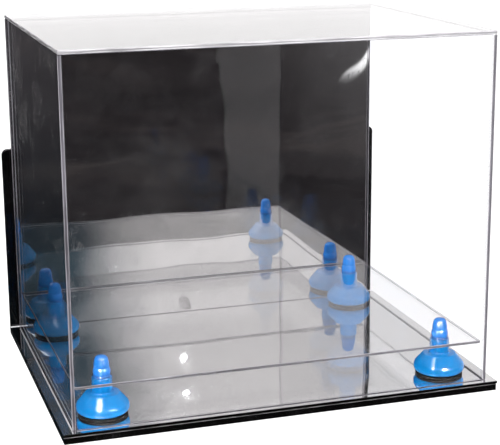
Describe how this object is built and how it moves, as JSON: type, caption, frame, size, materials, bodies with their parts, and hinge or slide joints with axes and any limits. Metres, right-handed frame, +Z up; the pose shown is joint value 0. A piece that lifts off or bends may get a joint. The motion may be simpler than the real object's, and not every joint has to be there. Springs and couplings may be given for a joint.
{
  "type": "football display case",
  "caption": "Clear box with a mirrored back and base, a raised clear platform on coloured risers, and a black wall mount, for showing a full-size football helmet.",
  "frame": {"origin": "middle of the underside, on the surface the case stands on", "axes": "+X to the viewer's right along the width, +Y from the clear front towards the wall, +Z up"},
  "size_m": [0.393, 0.3032, 0.3218],
  "materials": {
    "clear_acrylic": "clear polished sheet",
    "mirror_acrylic": "mirrored sheet",
    "black_acrylic": "glossy black sheet",
    "blue_plastic": "glossy moulded plastic",
    "black_rubber": "matt pad"
  },
  "bodies": {
    "wall_mount": {"wall_mount_shelf": "black_acrylic", "wall_mount_plate": "black_acrylic"},
    "base": {"base_mirror": "mirror_acrylic", "riser_pad_front_left": "black_rubber", "riser_pad_front_right": "black_rubber", "riser_pad_rear_left": "black_rubber", "riser_pad_rear_right": "black_rubber", "riser_body_front_left": "blue_plastic", "riser_body_front_right": "blue_plastic", "riser_body_rear_left": "blue_plastic", "riser_body_rear_right": "blue_plastic"},
    "cover": {"cover_top_panel": "clear_acrylic", "cover_left_panel": "clear_acrylic", "cover_right_panel": "clear_acrylic", "cover_front_panel": "clear_acrylic", "cover_back_mirror": "mirror_acrylic"},
    "display_platform": {"platform": "clear_acrylic"},
    "tip_front_left": {"riser_tip_front_left": "blue_plastic"},
    "tip_front_right": {"riser_tip_front_right": "blue_plastic"},
    "tip_rear_left": {"riser_tip_rear_left": "blue_plastic"},
    "tip_rear_right": {"riser_tip_rear_right": "blue_plastic"}
  },
  "joints": [
    {"name": "base_slide", "type": "slide", "parent": "wall_mount", "child": "base", "axis": [0, -1, 0], "range_m": [0, 0.31]},
    {"name": "cover_lift", "type": "slide", "parent": "base", "child": "cover", "axis": [0, 0, 1], "range_m": [0, 0.34]},
    {"name": "platform_lift", "type": "slide", "parent": "base", "child": "display_platform", "axis": [0, 0, 1], "range_m": [0, 0.06]},
    {"name": "tip_turn_front_left", "type": "hinge", "parent": "base", "child": "tip_front_left", "pos_m": [-0.1555, -0.11515, 0.0488], "axis": [0, 0, 1], "continuous": true},
    {"name": "tip_turn_front_right", "type": "hinge", "parent": "base", "child": "tip_front_right", "pos_m": [0.1555, -0.11515, 0.0488], "axis": [0, 0, 1], "continuous": true},
    {"name": "tip_turn_rear_left", "type": "hinge", "parent": "base", "child": "tip_rear_left", "pos_m": [-0.1555, 0.10885, 0.0488], "axis": [0, 0, 1], "continuous": true},
    {"name": "tip_turn_rear_right", "type": "hinge", "parent": "base", "child": "tip_rear_right", "pos_m": [0.1555, 0.10885, 0.0488], "axis": [0, 0, 1], "continuous": true}
  ]
}
